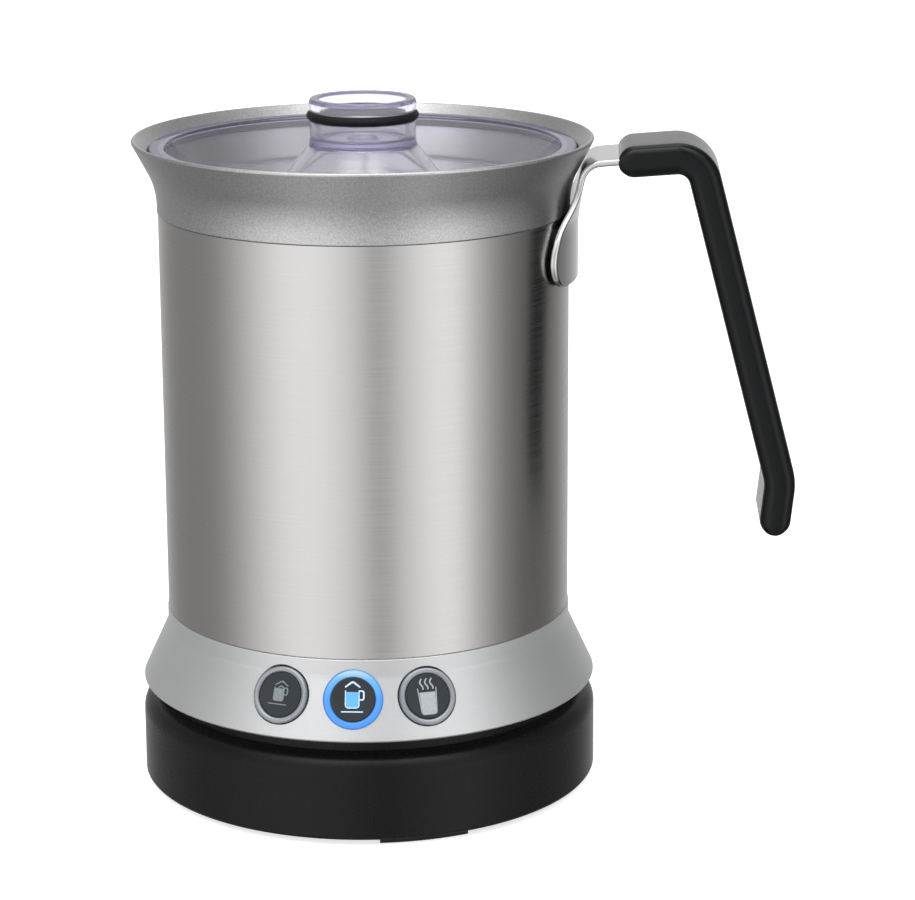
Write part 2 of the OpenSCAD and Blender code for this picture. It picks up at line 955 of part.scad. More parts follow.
module whisk_magnets() {
    color(magnet_grey)
        carrier_magnets(hub_low, hub_low + magnet_h, magnet_r);
}

base_shell();
base_bottom();
base_feet();
base_screws();
base_connector();
base_contacts();
cord_bushing();
cord_clamp();
clamp_screws();
jug_socket();
socket_contacts();
jug_bottom();
skirt();
outer_sleeve();
collar();
bowl();
bowl_gasket();
bowl_pin();
heater_plate();
heating_element();
thermostat();
thermal_fuse();
chassis();
motor_can();
field_magnets();
motor_screws();
control_board();
board_parts();
switch_boards();
tact_switches();
lamps();
left_light_ring();
centre_light_ring();
right_light_ring();
handle_strap();
handle_pad();
handle_grip();
handle_studs();
handle_nuts();
jug_screws();
lid_shell();
lid_seal();
lid_o_ring();
motor_shaft();
motor_armature();
magnet_carrier();
drive_magnets();
whisk_bush();
whisk_hub();
whisk_coil();
whisk_magnets();
left_button();
centre_button();
right_button();
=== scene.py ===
"""Milk frother: the looks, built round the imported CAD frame.

Metres and +Z up in Blender; the outlines below are in millimetres, as in the CAD source. The origin is
on the jug's axis at the level of the feet, -Y is the front with the buttons, and +X is the handle's side.
"""

import math

import bmesh
import bpy
from mathutils import Matrix, Vector


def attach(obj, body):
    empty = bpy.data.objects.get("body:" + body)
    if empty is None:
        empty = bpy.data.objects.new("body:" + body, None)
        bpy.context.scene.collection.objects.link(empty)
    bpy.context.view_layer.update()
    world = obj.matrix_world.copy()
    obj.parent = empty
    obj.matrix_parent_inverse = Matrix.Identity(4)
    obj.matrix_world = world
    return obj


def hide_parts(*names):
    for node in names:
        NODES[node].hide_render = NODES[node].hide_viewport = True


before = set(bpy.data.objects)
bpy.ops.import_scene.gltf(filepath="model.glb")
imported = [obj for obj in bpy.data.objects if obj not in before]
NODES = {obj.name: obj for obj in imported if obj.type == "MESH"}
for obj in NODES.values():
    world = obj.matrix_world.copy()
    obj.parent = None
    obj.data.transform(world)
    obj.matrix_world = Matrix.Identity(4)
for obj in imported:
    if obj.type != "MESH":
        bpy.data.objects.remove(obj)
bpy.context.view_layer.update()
MM = 0.001


# ---- Outlines and meshes ----

def arc(cx, cz, r, a0, a1, n=8):
    """Points (radius, height) on a circle's arc, from angle a0 to a1 in degrees."""
    turn = [math.radians(a0 + (a1 - a0) * i / n) for i in range(n + 1)]
    return [(cx + r * math.cos(a), cz + r * math.sin(a)) for a in turn]


def bend(a, b, c, r, n):
    """The arc of radius r that rounds the corner b between the lines from a and to c."""
    a, b, c = Vector(a[:2]), Vector(b[:2]), Vector(c[:2])
    u, v = (a - b).normalized(), (c - b).normalized()
    half = u.angle(v) / 2
    centre = b + (u + v).normalized() * r / math.sin(half)
    first, last = b + u * r / math.tan(half) - centre, b + v * r / math.tan(half) - centre
    start = math.degrees(math.atan2(first.y, first.x))
    turn = (math.degrees(math.atan2(last.y, last.x)) - start + 180) % 360 - 180
    return arc(centre.x, centre.y, r, start, start + turn, n)


def between(a, b, t):
    """The point at the fraction t of the way from a to b."""
    return tuple(p + (q - p) * t for p, q in zip(a, b))


FILLET_STEPS = 5


def rounded(points):
    """A closed outline in which a corner's third number is its fillet radius."""
    out = []
    for i, p in enumerate(points):
        if len(p) == 2:
            out.append(tuple(p))
        else:
            out += bend(points[i - 1], p, points[(i + 1) % len(points)], p[2], FILLET_STEPS)
    return out


def smooth_line(points, radius):
    """The open line through points with its inner corners rounded."""
    out = [points[0]]
    for a, b, c in zip(points, points[1:], points[2:]):
        out += bend(a, b, c, radius, FILLET_STEPS)
    return out + [points[-1]]


def skin(bm, rings, closed=False):
    """Quads between neighbouring rings of vertices; a ring of one repeated vertex is a pole."""
    pairs = list(zip(rings, rings[1:])) + ([(rings[-1], rings[0])] if closed else [])
    for a, b in pairs:
        for i in range(len(a)):
            j = (i + 1) % len(a)
            corners = list(dict.fromkeys([a[i], a[j], b[j], b[i]]))
            if len(corners) > 2:
                bm.faces.new(corners)


def turned(bm, outline, steps, at=None):
    """Turns a closed outline of (radius, height, fillet) in millimetres round Z, and places it with at."""
    at = at or Matrix.Identity(4)
    turn = [2 * math.pi * i / steps for i in range(steps)]
    rings = []
    for r, z in rounded(outline):
        if r < 1e-6:
            rings.append([bm.verts.new(at @ (Vector((0, 0, z)) * MM))] * steps)
        else:
            ring = [Vector((r * math.cos(a), r * math.sin(a), z)) * MM for a in turn]
            rings.append([bm.verts.new(at @ p) for p in ring])
    skin(bm, rings, closed=True)


def swept(bm, rings):
    """A closed skin through rings of points in millimetres, with a cap at each end."""
    rings = [[bm.verts.new(Vector(p) * MM) for p in ring] for ring in rings]
    skin(bm, rings)
    bm.faces.new(rings[0])
    bm.faces.new(rings[-1])


def smooth(obj, sharp=40):
    """Shades smooth, and keeps the edges that turn by more than sharp degrees."""
    obj.data.shade_smooth()
    obj.data.set_sharp_from_angle(angle=math.radians(sharp))
    weighted = obj.modifiers.new("even_normals", "WEIGHTED_NORMAL")
    weighted.keep_sharp = True


def piece(bm, name, body, material, slot, replaces=(), sharp=40):
    """Makes the finished mesh an object that rides on a body and takes the given material; the slot is not used.
    """
    bmesh.ops.recalc_face_normals(bm, faces=bm.faces)
    mesh = bpy.data.meshes.new(name)
    bm.to_mesh(mesh)
    bm.free()
    mesh.materials.append(material)
    obj = bpy.data.objects.new(name, mesh)
    bpy.context.scene.collection.objects.link(obj)
    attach(obj, body)
    if replaces:
        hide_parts(*replaces)
    smooth(obj, sharp)
    return obj


def lathe(name, outline, *facts, steps=192, at=None, **more):
    """A piece turned from an outline; facts are its body, material and slot, and the slot is not used."""
    bm = bmesh.new()
    turned(bm, outline, steps, at)
    return piece(bm, name, *facts, **more)


CUT_STEPS = 64


def cut(obj, outline, places):
    """Cuts the turned outline out of obj at each place, with a sharp rim where the cut's own faces begin."""
    bm = bmesh.new()
    for place in places:
        turned(bm, outline, CUT_STEPS, place)
    bmesh.ops.recalc_face_normals(bm, faces=bm.faces)
    mesh = bpy.data.meshes.new("cutter")
    bm.to_mesh(mesh)
    bm.free()
    mesh.materials.append(M["inner"])
    cutter = bpy.data.objects.new("cutter", mesh)
    bpy.context.scene.collection.objects.link(cutter)
    take = obj.modifiers.new("cut", "BOOLEAN")
    take.operation, take.solver, take.object = "DIFFERENCE", "EXACT", cutter
    take.material_mode = "TRANSFER"
    obj.modifiers.move(len(obj.modifiers) - 1, 0)
    bpy.context.view_layer.update()
    done = bpy.data.meshes.new_from_object(obj.evaluated_get(bpy.context.evaluated_depsgraph_get()))
    done.name = obj.name
    obj.modifiers.clear()
    obj.data = done
    bpy.data.objects.remove(cutter)
    smooth(obj)

    # The cutter's material marks the cut's own faces; it goes once their rim is sharp.
    bm = bmesh.new()
    bm.from_mesh(done)
    for edge in bm.edges:
        if len({face.material_index for face in edge.link_faces}) > 1:
            edge.smooth = False
    for face in bm.faces:
        face.material_index = 0
    bm.to_mesh(done)
    bm.free()
    while len(done.materials) > 1:
        done.materials.pop()


def at_polar(r, az, z):
    """A place at radius r and height z; az is measured from the front towards the handle."""
    return Matrix.Rotation(math.radians(az), 4, "Z") @ Matrix.Translation(Vector((0, -r, z)) * MM)


# ---- Shader nodes ----

def fitted(nt, field, low, high, to=(0, 1)):
    """The field's range from low to high, mapped to another range."""
    fit = nt.nodes.new("ShaderNodeMapRange")
    fit.inputs["From Min"].default_value, fit.inputs["From Max"].default_value = low, high
    fit.inputs["To Min"].default_value, fit.inputs["To Max"].default_value = to
    nt.links.new(field, fit.inputs["Value"])
    return fit.outputs["Result"]


def ramp_over(nt, field, stops, interpolation="LINEAR"):
    """A colour ramp over a field from 0 to 1, through stops of (position, colour)."""
    ramp = nt.nodes.new("ShaderNodeValToRGB")
    scale = ramp.color_ramp
    scale.interpolation = interpolation
    while len(scale.elements) < len(stops):
        scale.elements.new(0.5)
    for element, (position, colour) in zip(scale.elements, stops):
        element.position, element.color = position, (*colour, 1)
    nt.links.new(field, ramp.inputs["Fac"])
    return ramp.outputs["Color"]


def axes(nt, coordinate):
    """The X, Y and Z of a texture coordinate."""
    place, split = nt.nodes.new("ShaderNodeTexCoord"), nt.nodes.new("ShaderNodeSeparateXYZ")
    nt.links.new(place.outputs[coordinate], split.inputs["Vector"])
    return split.outputs


def maths(nt, operation, *inputs):
    """A Math node over sockets and numbers."""
    node = nt.nodes.new("ShaderNodeMath")
    node.operation = operation
    for socket, value in zip(node.inputs, inputs):
        if isinstance(value, (int, float)):
            socket.default_value = value
        else:
            nt.links.new(value, socket)
    return node.outputs[0]


def shader(name, colour, roughness, metallic=0.0, **sockets):
    """A new material with these values on its Principled shader's own sockets."""
    mat = bpy.data.materials.new(name)
    mat.use_nodes = True
    mat.diffuse_color = (*colour, 1)
    bsdf = mat.node_tree.nodes["Principled BSDF"]
    bsdf.inputs["Base Color"].default_value = (*colour, 1)
    bsdf.inputs["Roughness"].default_value = roughness
    bsdf.inputs["Metallic"].default_value = metallic
    for socket, value in sockets.items():
        bsdf.inputs[socket.replace("_", " ")].default_value = value
    return mat


NOISE_DETAIL = 2.0


def noise(mat, scale, kind="ShaderNodeTexNoise"):
    """Noise over the object's own coordinates; scale is per metre along X, Y and Z."""
    nt = mat.node_tree
    place, stretch, texture = (nt.nodes.new(k) for k in ("ShaderNodeTexCoord", "ShaderNodeMapping", kind))
    stretch.inputs["Scale"].default_value = scale
    texture.inputs["Scale"].default_value = 1.0
    if kind == "ShaderNodeTexNoise":
        texture.inputs["Detail"].default_value = NOISE_DETAIL
    nt.links.new(place.outputs["Object"], stretch.inputs["Vector"])
    nt.links.new(stretch.outputs["Vector"], texture.inputs["Vector"])
    return texture.outputs[0]


def vary(mat, field, low, high):
    """The field, from its darker to its lighter parts, runs the roughness from low to high."""
    nt = mat.node_tree
    nt.links.new(fitted(nt, field, 0.3, 0.7, (low, high)), nt.nodes["Principled BSDF"].inputs["Roughness"])


def tint(mat, field, *stops, socket="Base Color"):
    """The field runs the colour through stops of (position, colour)."""
    nt = mat.node_tree
    nt.links.new(ramp_over(nt, field, stops), nt.nodes["Principled BSDF"].inputs[socket])


def emboss(mat, field, strength, depth):
    """The field as bump, with its depth in millimetres."""
    nt = mat.node_tree
    bump = nt.nodes.new("ShaderNodeBump")
    bump.inputs["Strength"].default_value, bump.inputs["Distance"].default_value = strength, depth * MM
    nt.links.new(field, bump.inputs["Height"])
    nt.links.new(bump.outputs["Normal"], nt.nodes["Principled BSDF"].inputs["Normal"])


# ---- Materials ----

def brushed(name, colour, low, high, stretch, round_axis=True, anisotropy=0.8):
    """Metal with fine brush lines along the directions in which stretch is small."""
    mat = shader(name, colour, low, 1.0, Anisotropic=anisotropy,
                 Anisotropic_Rotation=0.25 if round_axis else 0)
    lines = noise(mat, stretch)
    dark = tuple(c * 0.93 for c in colour)
    tint(mat, lines, (0.25, dark), (0.75, colour))
    vary(mat, lines, low, high)
    emboss(mat, lines, 0.12, 0.02)
    if round_axis:
        nt = mat.node_tree
        tangent = nt.nodes.new("ShaderNodeTangent")
        tangent.direction_type, tangent.axis = "RADIAL", "Z"
        nt.links.new(tangent.outputs["Tangent"], nt.nodes["Principled BSDF"].inputs["Tangent"])
    return mat


def speckled(name, colour, low, high, grain, depth, metallic=0.0, spread=0.12, **sockets):
    """A finish with a fine even grain in its colour, gloss and surface."""
    mat = shader(name, colour, low, metallic, **sockets)
    field = noise(mat, (grain,) * 3)
    dark = tuple(c * (1 - spread) for c in colour)
    light = tuple(min(1, c * (1 + spread)) for c in colour)
    tint(mat, field, (0.3, dark), (0.7, light))
    vary(mat, field, low, high)
    emboss(mat, field, 0.25, depth)
    return mat


M = {
    "sleeve": brushed("brushed_steel", (0.63, 0.615, 0.605), 0.26, 0.36, (24, 24, 3200)),
    "collar": speckled("silver_paint", (0.51, 0.51, 0.515), 0.30, 0.40, 2600, 0.022, 0.94, 0.2),
    "skirt": speckled("light_silver_paint", (0.60, 0.605, 0.61), 0.32, 0.40, 3200, 0.008, 0.75, 0.04),
    "strap": brushed("polished_steel", (0.66, 0.655, 0.65), 0.07, 0.13, (60, 900, 60), False, 0.3),
    "steel": speckled("bare_steel", (0.52, 0.51, 0.50), 0.22, 0.34, 1500, 0.01, 1.0, 0.06),
    "base": speckled("base_plastic", (0.004, 0.004, 0.0045), 0.24, 0.32, 2400, 0.010,
                     Specular_IOR_Level=0.17, Sheen_Weight=0.04),
    "grip": speckled("grip_plastic", (0.003, 0.0035, 0.004), 0.12, 0.18, 700, 0.004, Specular_IOR_Level=0.22),
    "rubber": speckled("rubber", (0.008, 0.008, 0.009), 0.5, 0.65, 1800, 0.02, Specular_IOR_Level=0.25),
    "coating": speckled("bowl_coating", (0.66, 0.66, 0.67), 0.28, 0.38, 2600, 0.012, 0.3, 0.16),
    "heater": speckled("heater_metal", (0.48, 0.48, 0.49), 0.42, 0.58, 900, 0.03, 1.0),
    "brass": speckled("brass", (0.66, 0.47, 0.20), 0.24, 0.36, 1200, 0.01, 1.0, 0.08),
    "magnet": speckled("magnet", (0.40, 0.395, 0.385), 0.28, 0.4, 1400, 0.01, 1.0, 0.08),
    "inner": speckled("inner_plastic", (0.035, 0.035, 0.038), 0.5, 0.65, 2200, 0.02),
    "bush": speckled("bush_plastic", (0.62, 0.61, 0.57), 0.38, 0.5, 1500, 0.015, 0.0, 0.05),
    "cap": speckled("button_plastic", (0.008, 0.012, 0.015), 0.30, 0.42, 2600, 0.008),
    "ring": speckled("ring_grey", (0.30, 0.32, 0.34), 0.26, 0.36, 2600, 0.006, 0.7, 0.07),
    "icon": speckled("icon_grey", (0.19, 0.22, 0.235), 0.45, 0.6, 2200, 0.006),
    "icon_pale": speckled("icon_pale", (0.37, 0.40, 0.42), 0.45, 0.6, 2200, 0.006),
    "icon_blue": speckled("icon_blue", (0.08, 0.28, 0.60), 0.4, 0.55, 2200, 0.006,
                          Emission_Color=(0.10, 0.36, 0.80, 1), Emission_Strength=0.5),
    "icon_white": speckled("icon_white", (0.46, 0.62, 0.78), 0.4, 0.55, 2200, 0.006,
                           Emission_Color=(0.45, 0.70, 0.95, 1), Emission_Strength=0.3),
    "lamp": speckled("lamp", (0.75, 0.80, 0.85), 0.25, 0.4, 1500, 0.01, 0.0, 0.05,
                     Emission_Color=(0.3, 0.6, 1.0, 1), Emission_Strength=0.6),
}

# The lid's tints, and where they come, in metres: by radius from 0 to LID_R, and by height from LID_LOW to
# LID_HIGH
PALE, EDGE, THICK = (0.99, 0.987, 1.0), (0.48, 0.44, 0.86), (0.70, 0.66, 0.94)
LID_R, LID_LOW, LID_HIGH = 0.060, 0.170, 0.190
TINT_BY_RADIUS = ((0.885, PALE), (0.91, EDGE), (0.95, EDGE))
TINT_BY_HEIGHT = ((0.22, PALE), (0.30, THICK), (0.42, PALE), (0.81, PALE), (0.86, THICK))


def make_clear():
    """The lid's clear plastic, with the faintest moulding waviness and a violet tint where it is thick: at the
    flange, round the neck's foot and at its lip."""
    mat = shader("clear_plastic", (0.97, 0.965, 0.99), 0.03, Transmission_Weight=0.88, IOR=1.49)
    field = noise(mat, (120, 120, 120))
    vary(mat, field, 0.02, 0.045)
    emboss(mat, field, 0.05, 0.05)
    nt = mat.node_tree
    place = nt.nodes.new("ShaderNodeTexCoord")
    flat, out = (nt.nodes.new("ShaderNodeVectorMath") for _ in range(2))
    flat.operation, out.operation = "MULTIPLY", "LENGTH"
    flat.inputs[1].default_value = (1, 1, 0)
    nt.links.new(place.outputs["Object"], flat.inputs[0])
    nt.links.new(flat.outputs["Vector"], out.inputs[0])
    both = nt.nodes.new("ShaderNodeMix")
    both.data_type, both.blend_type = "RGBA", "MULTIPLY"
    both.inputs["Factor"].default_value = 1
    nt.links.new(ramp_over(nt, fitted(nt, out.outputs["Value"], 0, LID_R), TINT_BY_RADIUS), both.inputs[6])
    up = fitted(nt, axes(nt, "Object")["Z"], LID_LOW, LID_HIGH)
    nt.links.new(ramp_over(nt, up, TINT_BY_HEIGHT), both.inputs[7])
    nt.links.new(both.outputs[2], nt.nodes["Principled BSDF"].inputs["Base Color"])
    body = nt.nodes.new("ShaderNodeVolumeAbsorption")
    body.inputs["Color"].default_value = (0.52, 0.48, 0.93, 1)
    body.inputs["Density"].default_value = 15
    nt.links.new(body.outputs[0], nt.nodes["Material Output"].inputs["Volume"])
    return mat


# The lit ring's lowest and highest point, in metres
RING_LOW, RING_HIGH = 0.0315, 0.0470


def make_ring_blue():
    """The lit ring: deep blue and glowing with the lamp behind it, paler towards its top, where a painted
    highlight is added to the glow.
    """
    mat = shader("ring_blue", (0.03, 0.14, 0.42), 0.22, Emission_Strength=0.62)
    nt = mat.node_tree
    # Emission runs from deep blue low down to near white at the top; the near-white top is a painted highlight.
    tint(mat, fitted(nt, axes(nt, "Object")["Z"], RING_LOW, RING_HIGH), (0.0, (0.06, 0.25, 0.68)),
         (0.5, (0.08, 0.32, 0.80)), (0.8, (0.22, 0.56, 0.92)), (0.97, (0.85, 0.97, 1.0)), socket="Emission Color")
    grain = noise(mat, (2200, 2200, 2200))
    vary(mat, grain, 0.18, 0.28)
    emboss(mat, grain, 0.1, 0.005)
    return mat


def make_board():
    """Green circuit board with paler copper traces under the mask."""
    mat = shader("circuit_board", (0.02, 0.16, 0.07), 0.4)
    cells = noise(mat, (420, 420, 420), "ShaderNodeTexVoronoi")
    tint(mat, cells, (0.0, (0.10, 0.34, 0.12)), (0.16, (0.03, 0.20, 0.08)), (0.22, (0.012, 0.12, 0.05)))
    vary(mat, cells, 0.3, 0.45)
    emboss(mat, cells, 0.15, 0.02)
    return mat


M["lid"], M["ring_blue"], M["board"] = make_clear(), make_ring_blue(), make_board()

# The CAD nodes that are shown as they are, by their material
CARRIED = {
    "base": ["base_bottom", "base_connector", "jug_socket", "jug_bottom"],
    "rubber": ["cord_bushing", "bowl_gasket", "handle_pad", "base_feet"],
    "steel": ["clamp_screws", "bowl_pin", "thermal_fuse", "motor_can", "motor_screws", "motor_shaft",
              "handle_studs", "handle_nuts", "base_screws", "jug_screws"],
    "brass": ["base_contacts", "socket_contacts", "motor_armature"],
    "magnet": ["field_magnets", "drive_magnets", "whisk_magnets"],
    "inner": ["cord_clamp", "thermostat", "chassis", "board_parts", "tact_switches", "magnet_carrier",
              "whisk_hub"],
    "heater": ["heater_plate", "heating_element"],
    "board": ["control_board", "switch_boards"],
    "lamp": ["lamps"],
    "bush": ["whisk_bush"],
}
for finish, carried in CARRIED.items():
    for node in carried:
        NODES[node].data.materials.clear()
        NODES[node].data.materials.append(M[finish])

# ---- Base ----

INLET = Matrix.Translation(Vector((0, 57, 11.5)) * MM) @ Matrix.Rotation(math.radians(-90), 4, "X")
base = lathe(
    "Base_Casing",
    [(60.3, 1.6), (61.9, 1.6, 0.5), (62.5, 2.4, 0.5), *arc(57.5, 19.5, 5, 0, 90, 20),
     (17.4, 24.5), (16.8, 23.9), (16.8, 22.3), *arc(57.5, 19.5, 2.8, 90, 0, 10)],
    "base", M["base"], "base_plastic", replaces=["base_shell"], steps=256)
cut(base, [(0, 0), (5.2, 0), (5.2, 8), (0, 8)], [INLET])

# ---- Jug: skirt, sleeve, collar and bowl ----

LEAN = 24.87
BUTTON_R, BUTTON_Z = 57.73, 39
BUTTONS = {"left": -19.4, "centre": 0.0, "right": 19.4}


def at_button(side):
    """A button's own frame: +Z out of the skirt, +Y up along it."""
    return at_polar(BUTTON_R, BUTTONS[side], BUTTON_Z) @ Matrix.Rotation(math.radians(90 - LEAN), 4, "X")


CONE_LOW, CONE_HIGH = (61.9, 30.0), (55.3, 44.24)
skirt = lathe(
    "Skirt",
    [(60.3, 28.6), (61.9, 28.6, 0.3), (62.3, 29.1, 0.25), (*CONE_LOW, 0.6),
     *[between(CONE_LOW, CONE_HIGH, t) for t in (0.15, 0.3, 0.45, 0.6, 0.75, 0.9)],
     (*CONE_HIGH, 3.0), (55.3, 48.9, 0.25), (54.15, 48.9), (54.15, 54.9), (52.9, 54.9), (52.9, 44.24),
     (59.475, 30.0)],
    "jug", M["skirt"], "silver_paint", replaces=["skirt"], steps=256)
cut(skirt, [(0, -9), (7.9, -9), (7.9, 9), (0, 9)], [at_button(side) for side in BUTTONS])

lathe("Sleeve",
      [(54.25, 48.95), (55.05, 48.95, 0.3), (55.05, 100), (55.05, 158.15, 0.25), (54.25, 158.15), (54.25, 100)],
      "jug", M["sleeve"], "brushed_steel", replaces=["outer_sleeve"], steps=288)

FLARE = 27.9
lathe("Collar",
      [(50.5, 158.25), (52.9, 158.25), (52.9, 155), (54.15, 155), (54.15, 158.25), (55.1, 158.25),
       (55.3, 158.45), *arc(75.3, 160, 20, 180, 180 - FLARE, 16), *arc(61.02, 177.1, 0.6, -FLARE, 150, 10),
       (57.5, 174.6, 0.5), (57.3, 174.2), (57.3, 172, 0.2), (55.2, 172, 0.3), (50.5, 161.5)],
      "jug", M["collar"], "silver_paint", replaces=["collar"], steps=256)

# The small steps in the bowl's wall are its two level lines.
lathe("Bowl",
      [(1.5, 66), *arc(39.2, 74, 8, -90, 0, 10), (47.2, 150), (50.2, 156.2, 0.4), (52.6, 156.2), (52.6, 157.2),
       (49.9, 157.2, 0.6), (46, 150.6, 3), (46, 130.8), (46.25, 130.5), (46, 130.2), (46, 115.0),
       (46.25, 114.7), (46, 114.4), *arc(39, 74.5, 7, 0, -90, 12), (17, 67.5), (16.6, 67.2), (4.6, 67.2),
       (4.2, 67.5), (1.5, 67.5)],
      "jug", M["coating"], "bowl_coating", replaces=["bowl"])

# ---- Lid ----

lathe("Lid",
      [(0, 175.0), (10.7, 175.0, 2.0), (12.6, 173.5), (23.0, 162.2, 2.0), (50.2, 162.2, 1.6), (54.0, 174.0, 0.3),
       (57, 174, 0.3), (57, 175.4, 0.5), (53.0, 175.4, 0.6), (48.8, 164, 2.2), (24.2, 164, 3.0),
       (14.5, 175.3, 1.2), (14.2, 177.0), (14.2, 181.9, 0.15), (13.3, 181.9), (13.3, 184.5),
       (14.2, 184.5, 0.15), (14.4, 186.8, 0.3), (14.0, 187.8, 0.4), (12.0, 187.8, 0.3), (11.7, 187.4),
       (11.7, 176.8, 1.2), (4.4, 176.8, 0.8), (3.4, 177.7), (2.0, 177.95), (0, 178.0)],
      "lid", M["lid"], "clear_plastic", replaces=["lid_shell"], sharp=50)

lathe("Lid_Seal",
      [(54.4, 172.2, 0.3), (56.9, 172.2, 0.2), (56.9, 172.7), (56.5, 173.0), (56.9, 173.3),
       (56.9, 174.0, 0.2), (54.4, 174.0, 0.2)],
      "lid", M["rubber"], "rubber", replaces=["lid_seal"])

lathe("Lid_O_Ring", arc(13.75, 183.2, 1.25, 0, 345, 23), "lid", M["rubber"], "rubber",
      replaces=["lid_o_ring"], steps=128)

# ---- Buttons ----

RING_OUTLINE = [(5.98, -3.9), (8.7, -3.9), (8.7, -2.9), (7.55, -2.9), (7.55, 0.35, 0.1), (7.3, 0.75, 0.2),
                (6.8, 0.9, 1.0), (6.25, 0.75, 0.25), (5.98, 0.35, 0.1)]
CAP_OUTLINE = [(0, -6.2), (2, -6.2), (2, -5.2), (7, -5.2), (7, -4.2), (5.9, -4.2), (5.9, 0.5, 0.25),
               (5.2, 0.46, 0.8), (3.0, 0.36), (0, 0.32)]
for side in BUTTONS:
    lit = side == "centre"
    lathe(f"{side.title()}_Light_Ring", RING_OUTLINE, "jug", M["ring_blue" if lit else "ring"],
          "ring_blue" if lit else "ring_grey", replaces=[f"{side}_light_ring"], steps=96, at=at_button(side))
    lathe(f"{side.title()}_Cap", CAP_OUTLINE, f"{side}_button", M["cap"], "button_plastic",
          replaces=[f"{side}_button"], steps=96, at=at_button(side))

# An icon is a shallow relief: the height of its curves' middle on the cap, and how far they are flattened
ICON_Z, ICON_FLAT = 0.42, 0.55


def through(curve, points):
    """Adds a straight-sided spline through points (x, y) in millimetres to the curve."""
    spline = curve.splines.new("POLY")
    spline.points.add(len(points) - 1)
    for point, (x, y) in zip(spline.points, points):
        point.co = (x * MM, y * MM, 0, 1)
    return spline


def stroke(points, width):
    """A soft raised line through points, with its ends drawn in."""
    curve = bpy.data.curves.new("stroke", "CURVE")
    curve.dimensions, curve.bevel_depth, curve.bevel_resolution = "3D", width / 2 * MM, 3
    curve.use_fill_caps = True
    spline = through(curve, points)
    spline.points[0].radius = spline.points[-1].radius = 0.72
    return curve


def filled(points):
    """A flat raised shape inside an outline."""
    curve = bpy.data.curves.new("filled", "CURVE")
    curve.dimensions, curve.fill_mode = "2D", "BOTH"
    curve.extrude, curve.bevel_depth = 0.12 * MM, 0.05 * MM
    through(curve, points).use_cyclic_u = True
    return curve


def icon(name, side, curves, material):
    """Joins the curves into one mesh on the button's cap."""
    bm = bmesh.new()
    place = at_button(side) @ Matrix.Translation((0, 0, ICON_Z * MM)) @ Matrix.Diagonal((1, 1, ICON_FLAT, 1))
    for curve in curves:
        holder = bpy.data.objects.new("outline", curve)
        mesh = holder.to_mesh()
        before = len(bm.verts)
        bm.from_mesh(mesh)
        bm.verts.ensure_lookup_table()
        bmesh.ops.transform(bm, matrix=place, verts=bm.verts[before:])
        holder.to_mesh_clear()
        bpy.data.objects.remove(holder)
    bmesh.ops.remove_doubles(bm, verts=bm.verts, dist=1e-7)
    return piece(bm, name, f"{side}_button", material, "button_plastic")


def roof(foot, peak, fillet):
    """A pointed line over a mug: symmetric about its peak, down to a foot."""
    return smooth_line([foot, peak, (2 * peak[0] - foot[0], foot[1])], fillet)


def steam(x, y0, y1, n=14):
    """A line of steam: one gentle S from y0 up to y1."""
    return [(x + 0.36 * math.sin(2 * math.pi * i / n + 0.6), y0 + (y1 - y0) * i / n) for i in range(n + 1)]


def mug(k, x, y):
    """A mug's body, wall line and handle, k times the size of the centre button's, moved by (x, y)."""
    body = rounded([(-1.8, 1.85), (-1.8, -2.05, 0.6), (1.45, -2.05, 0.6), (1.45, 1.85)])
    wall = smooth_line([(-1.95, 2.35), (-1.9, -2.2), (1.6, -2.2), (1.6, 2.35)], 0.75)
    handle = smooth_line([(1.6, 2.2), (2.85, 2.2), (2.85, -0.1), (1.6, -0.1)], 0.5)
    return [[(px * k + x, py * k + y) for px, py in line] for line in (body, wall, handle)]


body, wall, handle = mug(1.0, 0, 0)
icon("Centre_Icon_Milk", "centre", [filled(body)], M["icon_blue"])
icon("Centre_Icon_Lines", "centre",
     [stroke(wall, 0.34), stroke(handle, 0.42), stroke(roof((-2.1, 3.15), (-0.1, 4.65), 0.6), 0.5),
      stroke([(-3.0, -3.25), (2.7, -3.25)], 0.45)], M["icon_white"])
body, wall, handle = mug(0.78, -0.25, 0.1)
icon("Left_Icon", "left",
     [filled(body), stroke(wall, 0.34), stroke(handle, 0.36),
      stroke(roof((-1.75, 2.35), (0.1, 3.6), 0.6), 0.38),
      stroke(roof((-0.75, 1.75), (0.05, 2.3), 0.35), 0.38), stroke([(-3.0, -2.55), (2.2, -2.55)], 0.38)],
     M["icon"])
glass = rounded([(-2.1, 1.0), (-1.75, -4.6, 0.7), (1.75, -4.6, 0.7), (2.1, 1.0)])
wall = smooth_line([(-2.5, 2.2), (-1.95, -4.7), (1.95, -4.7), (2.5, 2.2)], 0.7)
icon("Right_Icon", "right",
     [filled(glass), stroke(wall, 0.36), *[stroke(steam(x, 1.75, 4.65), 0.42) for x in (-1.35, 0.0, 1.35)]],
     M["icon_pale"])

# ---- Handle ----

# The strap's thickness, the radius of its middle where it lies on the sleeve, and the radius of its outer face
STRAP_T, STRAP_MID, STRAP_OUT = 1.7, 56.65, 57.5
# The tongue on the sleeve: its lower edge, the height where its corners end, their radius, and its half width
TONGUE_LOW, TONGUE_FULL, TONGUE_CORNER, TONGUE_HALF_W = 140.5, 147.5, 7.1, 24.6
# Above it the strap narrows over this height to this half width, and flattens between these heights
NARROWING, NECK_HALF_W = 20.5, 13.2
ROUND_TO, FLAT_FROM = 155, 169
# The strap's foot, its bends and its end, as (radius, height)
STRAP_FOOT, STRAP_LEAN = (STRAP_MID, TONGUE_LOW), (STRAP_MID, 155.5)
STRAP_KINK, STRAP_END = (59, 171.9), (72.5, 173)
# The grip's ends and bends, as (radius, height)
GRIP_START, GRIP_TOP, GRIP_FOOT, GRIP_END = (68, 172.2), (89.3, 173.8), (112.3, 85.5), (110.7, 70.8)
